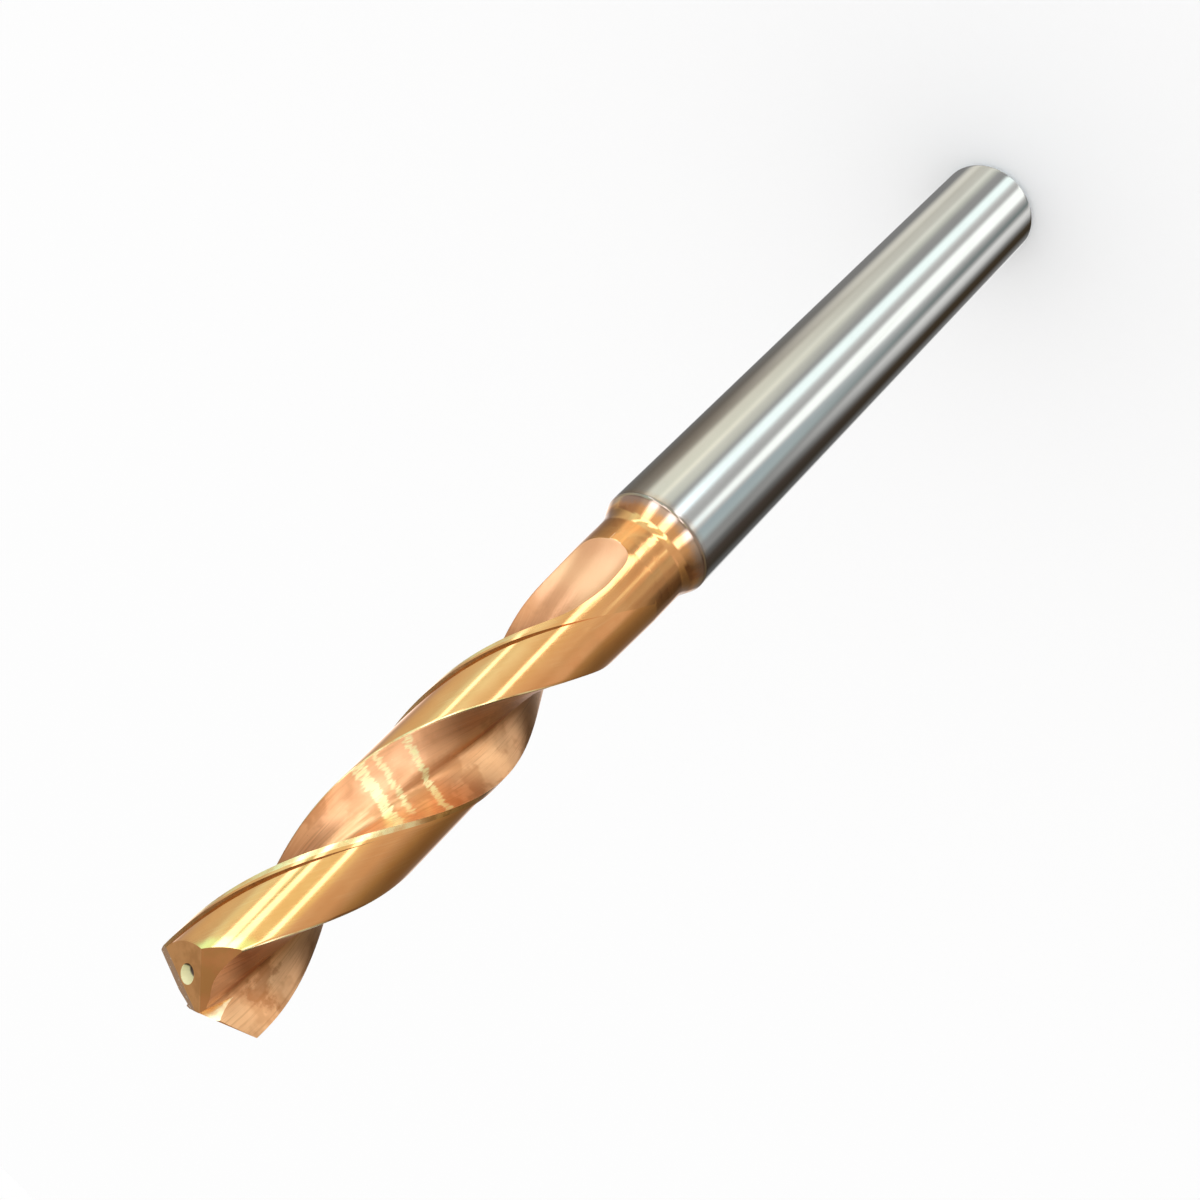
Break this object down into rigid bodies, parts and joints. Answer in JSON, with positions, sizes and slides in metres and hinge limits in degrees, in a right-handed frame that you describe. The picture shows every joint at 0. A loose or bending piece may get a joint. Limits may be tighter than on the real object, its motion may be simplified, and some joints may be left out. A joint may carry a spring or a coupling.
{
  "type": "carbide drill bit",
  "caption": "Solid carbide twist drill with helical flutes, inner coolant channels and a plain cylindrical shank, for drilling metal on a machine.",
  "frame": {"origin": "centre of the flat rear face of the shank", "axes": "+Z along the drill axis, from the rear face of the shank to the point; +X along one cutting lip"},
  "size_m": [0.01, 0.01, 0.107],
  "materials": {
    "carbide": "ground, with a copper-coloured coating on the flutes, point and neck, and a bare polished shank"
  },
  "bodies": {
    "root": {"carbide_drill_bit": "carbide"}
  },
  "joints": []
}
